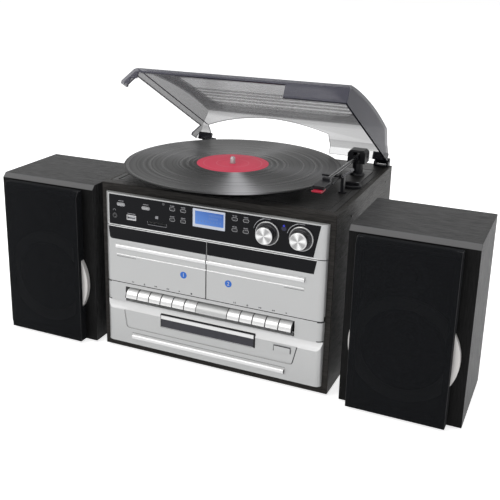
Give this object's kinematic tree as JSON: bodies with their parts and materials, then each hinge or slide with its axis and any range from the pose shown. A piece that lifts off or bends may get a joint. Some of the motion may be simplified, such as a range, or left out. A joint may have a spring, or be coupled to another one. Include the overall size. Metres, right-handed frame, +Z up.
{
  "type": "stereo music centre",
  "caption": "Box-shaped music centre with a record deck under a hinged smoke lid, cassette doors, a disc drawer, a radio front and a separate pair of loudspeakers.",
  "frame": {"origin": "middle of the footprint of the whole set, on the surface that the rubber feet stand on", "axes": "+Z up, +X to the right as seen from the front, +Y towards the back"},
  "size_m": [0.6644, 0.3124, 0.3939],
  "materials": {
    "case_board": "black ash vinyl on board",
    "back_board": "painted fibreboard",
    "deck_black": "moulded black",
    "rubber": "matt",
    "screw_steel": "blackened",
    "silver_moulding": "silver lacquer",
    "gloss_black": "polished",
    "display": "lit blue panel",
    "circuit_board": "printed board",
    "transformer_iron": "varnished",
    "grey_plastic": "moulded",
    "socket_metal": "plated",
    "motor_steel": "plated",
    "arm_black": "satin black",
    "light_grey": "satin",
    "silver_button": "silver lacquer",
    "grey_button": "grey lacquer",
    "silver_key": "silver lacquer",
    "knob_metal": "spun silver face on a plated skirt",
    "platter_metal": "moulded platter with a rubber mat",
    "vinyl": "pressed record with a plain red label",
    "pulley_brass": "turned",
    "smoke_lid": "clear smoke tint",
    "grille_cloth": "black cloth on a frame",
    "driver_silver": "silver ring, black cone"
  },
  "bodies": {
    "case": {"cabinet": "case_board", "rear_panel": "back_board", "deck_plate": "deck_black", "rubber_feet": "rubber", "panel_screws": "screw_steel", "front_fascia": "silver_moulding", "radio_window": "gloss_black", "lcd_display": "display", "disc_fascia": "silver_moulding", "circuit_boards": "circuit_board", "transformer": "transformer_iron", "cassette_bays": "deck_black", "disc_mechanism": "grey_plastic", "rear_sockets": "deck_black", "front_sockets": "socket_metal", "turntable_motor": "motor_steel", "tonearm_base": "arm_black", "arm_rest": "arm_black", "drive_belt": "rubber", "hinge_brackets": "arm_black", "speaker_cabinets": "case_board", "speaker_grilles": "grille_cloth", "speaker_drivers": "driver_silver"},
    "lid": {"lid": "smoke_lid", "hinge_leaves": "arm_black"},
    "platter": {"platter": "platter_metal", "record": "vinyl"},
    "motor_pulley": {"motor_pulley": "pulley_brass"},
    "tonearm_yoke": {"tonearm_yoke": "arm_black"},
    "tonearm": {"tonearm": "arm_black", "headshell": "arm_black"},
    "arm_clip": {"arm_clip": "light_grey"},
    "speed_dial": {"speed_dial": "deck_black"},
    "door_left": {"door_left": "silver_moulding"},
    "door_right": {"door_right": "silver_moulding"},
    "key_left_1": {"key_left_1": "silver_key"},
    "key_left_2": {"key_left_2": "silver_key"},
    "key_left_3": {"key_left_3": "silver_key"},
    "key_left_4": {"key_left_4": "silver_key"},
    "key_left_5": {"key_left_5": "silver_key"},
    "key_left_6": {"key_left_6": "silver_key"},
    "key_right_1": {"key_right_1": "silver_key"},
    "key_right_2": {"key_right_2": "silver_key"},
    "key_right_3": {"key_right_3": "silver_key"},
    "key_right_4": {"key_right_4": "silver_key"},
    "key_right_5": {"key_right_5": "silver_key"},
    "disc_tray": {"disc_tray": "gloss_black"},
    "eject_button": {"eject_button": "silver_button"},
    "power_button": {"power_button": "grey_button"},
    "source_button": {"source_button": "grey_button"},
    "button_1": {"button_1": "grey_button"},
    "button_2": {"button_2": "grey_button"},
    "button_3": {"button_3": "grey_button"},
    "button_4": {"button_4": "grey_button"},
    "button_5": {"button_5": "grey_button"},
    "button_6": {"button_6": "grey_button"},
    "button_7": {"button_7": "grey_button"},
    "button_8": {"button_8": "grey_button"},
    "volume_knob": {"volume_knob": "knob_metal"},
    "tuning_knob": {"tuning_knob": "knob_metal"}
  },
  "joints": [
    {"name": "lid_hinge", "type": "hinge", "parent": "case", "child": "lid", "pos_m": [-0.00125, 0.15165, 0.25], "axis": [-1, 0, 0], "range_deg": [-28, 30]},
    {"name": "platter_spin", "type": "hinge", "parent": "case", "child": "platter", "pos_m": [-0.02165, -0.00565, 0.253], "axis": [0, 0, -1], "continuous": true},
    {"name": "pulley_spin", "type": "hinge", "parent": "case", "child": "motor_pulley", "pos_m": [-0.08402, 0.05672, 0.248], "axis": [0, 0, -1], "continuous": true},
    {"name": "tonearm_swing", "type": "hinge", "parent": "case", "child": "tonearm_yoke", "pos_m": [0.13125, 0.08465, 0.269], "axis": [0, 0, -1], "range_deg": [0, 40]},
    {"name": "tonearm_lift", "type": "hinge", "parent": "tonearm_yoke", "child": "tonearm", "pos_m": [0.13125, 0.08465, 0.269], "axis": [-1, 0, 0], "range_deg": [-0.7, 8]},
    {"name": "clip_turn", "type": "hinge", "parent": "case", "child": "arm_clip", "pos_m": [0.14075, -0.01435, 0.2664], "axis": [0, -1, 0], "range_deg": [0, 105]},
    {"name": "speed_turn", "type": "hinge", "parent": "case", "child": "speed_dial", "pos_m": [0.14275, 0.01765, 0.246], "axis": [0, 0, -1], "range_deg": [-30, 30]},
    {"name": "door_left_hinge", "type": "hinge", "parent": "case", "child": "door_left", "pos_m": [-0.00125, -0.11915, 0.1075], "axis": [1, 0, 0], "range_deg": [0, 28]},
    {"name": "door_right_hinge", "type": "hinge", "parent": "case", "child": "door_right", "pos_m": [-0.00125, -0.11915, 0.1075], "axis": [1, 0, 0], "range_deg": [0, 28]},
    {"name": "key_left_1_press", "type": "hinge", "parent": "case", "child": "key_left_1", "pos_m": [-0.00125, -0.09435, 0.091], "axis": [1, 0, 0], "range_deg": [0, 6], "stiffness_Nm_per_rad": 0.5, "springref_deg": -5.73},
    {"name": "key_left_2_press", "type": "hinge", "parent": "case", "child": "key_left_2", "pos_m": [-0.00125, -0.09435, 0.091], "axis": [1, 0, 0], "range_deg": [0, 6], "stiffness_Nm_per_rad": 0.5, "springref_deg": -5.73},
    {"name": "key_left_3_press", "type": "hinge", "parent": "case", "child": "key_left_3", "pos_m": [-0.00125, -0.09435, 0.091], "axis": [1, 0, 0], "range_deg": [0, 6], "stiffness_Nm_per_rad": 0.5, "springref_deg": -5.73},
    {"name": "key_left_4_press", "type": "hinge", "parent": "case", "child": "key_left_4", "pos_m": [-0.00125, -0.09435, 0.091], "axis": [1, 0, 0], "range_deg": [0, 6], "stiffness_Nm_per_rad": 0.5, "springref_deg": -5.73},
    {"name": "key_left_5_press", "type": "hinge", "parent": "case", "child": "key_left_5", "pos_m": [-0.00125, -0.09435, 0.091], "axis": [1, 0, 0], "range_deg": [0, 6], "stiffness_Nm_per_rad": 0.5, "springref_deg": -5.73},
    {"name": "key_left_6_press", "type": "hinge", "parent": "case", "child": "key_left_6", "pos_m": [-0.00125, -0.09435, 0.091], "axis": [1, 0, 0], "range_deg": [0, 6], "stiffness_Nm_per_rad": 0.5, "springref_deg": -5.73},
    {"name": "key_right_1_press", "type": "hinge", "parent": "case", "child": "key_right_1", "pos_m": [-0.00125, -0.09435, 0.091], "axis": [1, 0, 0], "range_deg": [0, 6], "stiffness_Nm_per_rad": 0.5, "springref_deg": -5.73},
    {"name": "key_right_2_press", "type": "hinge", "parent": "case", "child": "key_right_2", "pos_m": [-0.00125, -0.09435, 0.091], "axis": [1, 0, 0], "range_deg": [0, 6], "stiffness_Nm_per_rad": 0.5, "springref_deg": -5.73},
    {"name": "key_right_3_press", "type": "hinge", "parent": "case", "child": "key_right_3", "pos_m": [-0.00125, -0.09435, 0.091], "axis": [1, 0, 0], "range_deg": [0, 6], "stiffness_Nm_per_rad": 0.5, "springref_deg": -5.73},
    {"name": "key_right_4_press", "type": "hinge", "parent": "case", "child": "key_right_4", "pos_m": [-0.00125, -0.09435, 0.091], "axis": [1, 0, 0], "range_deg": [0, 6], "stiffness_Nm_per_rad": 0.5, "springref_deg": -5.73},
    {"name": "key_right_5_press", "type": "hinge", "parent": "case", "child": "key_right_5", "pos_m": [-0.00125, -0.09435, 0.091], "axis": [1, 0, 0], "range_deg": [0, 6], "stiffness_Nm_per_rad": 0.5, "springref_deg": -5.73},
    {"name": "tray_slide", "type": "slide", "parent": "case", "child": "disc_tray", "axis": [0, -1, 0], "range_m": [0, 0.125]},
    {"name": "eject_button_press", "type": "slide", "parent": "case", "child": "eject_button", "axis": [0, 1, 0], "range_m": [0, 0.001], "stiffness_N_per_m": 250, "springref_m": -0.002},
    {"name": "power_button_press", "type": "slide", "parent": "case", "child": "power_button", "axis": [0, 1, 0], "range_m": [0, 0.001], "stiffness_N_per_m": 250, "springref_m": -0.002},
    {"name": "source_button_press", "type": "slide", "parent": "case", "child": "source_button", "axis": [0, 1, 0], "range_m": [0, 0.001], "stiffness_N_per_m": 250, "springref_m": -0.002},
    {"name": "button_1_press", "type": "slide", "parent": "case", "child": "button_1", "axis": [0, 1, 0], "range_m": [0, 0.001], "stiffness_N_per_m": 250, "springref_m": -0.002},
    {"name": "button_2_press", "type": "slide", "parent": "case", "child": "button_2", "axis": [0, 1, 0], "range_m": [0, 0.001], "stiffness_N_per_m": 250, "springref_m": -0.002},
    {"name": "button_3_press", "type": "slide", "parent": "case", "child": "button_3", "axis": [0, 1, 0], "range_m": [0, 0.001], "stiffness_N_per_m": 250, "springref_m": -0.002},
    {"name": "button_4_press", "type": "slide", "parent": "case", "child": "button_4", "axis": [0, 1, 0], "range_m": [0, 0.001], "stiffness_N_per_m": 250, "springref_m": -0.002},
    {"name": "button_5_press", "type": "slide", "parent": "case", "child": "button_5", "axis": [0, 1, 0], "range_m": [0, 0.001], "stiffness_N_per_m": 250, "springref_m": -0.002},
    {"name": "button_6_press", "type": "slide", "parent": "case", "child": "button_6", "axis": [0, 1, 0], "range_m": [0, 0.001], "stiffness_N_per_m": 250, "springref_m": -0.002},
    {"name": "button_7_press", "type": "slide", "parent": "case", "child": "button_7", "axis": [0, 1, 0], "range_m": [0, 0.001], "stiffness_N_per_m": 250, "springref_m": -0.002},
    {"name": "button_8_press", "type": "slide", "parent": "case", "child": "button_8", "axis": [0, 1, 0], "range_m": [0, 0.001], "stiffness_N_per_m": 250, "springref_m": -0.002},
    {"name": "volume_turn", "type": "hinge", "parent": "case", "child": "volume_knob", "pos_m": [0.07825, -0.11435, 0.20975], "axis": [0, -1, 0], "range_deg": [-145, 145]},
    {"name": "tuning_turn", "type": "hinge", "parent": "case", "child": "tuning_knob", "pos_m": [0.12273, -0.11435, 0.20975], "axis": [0, -1, 0], "continuous": true}
  ],
  "couplings": [
    {"joint": "pulley_spin", "follows": "platter_spin", "ratio": 18.273}
  ]
}
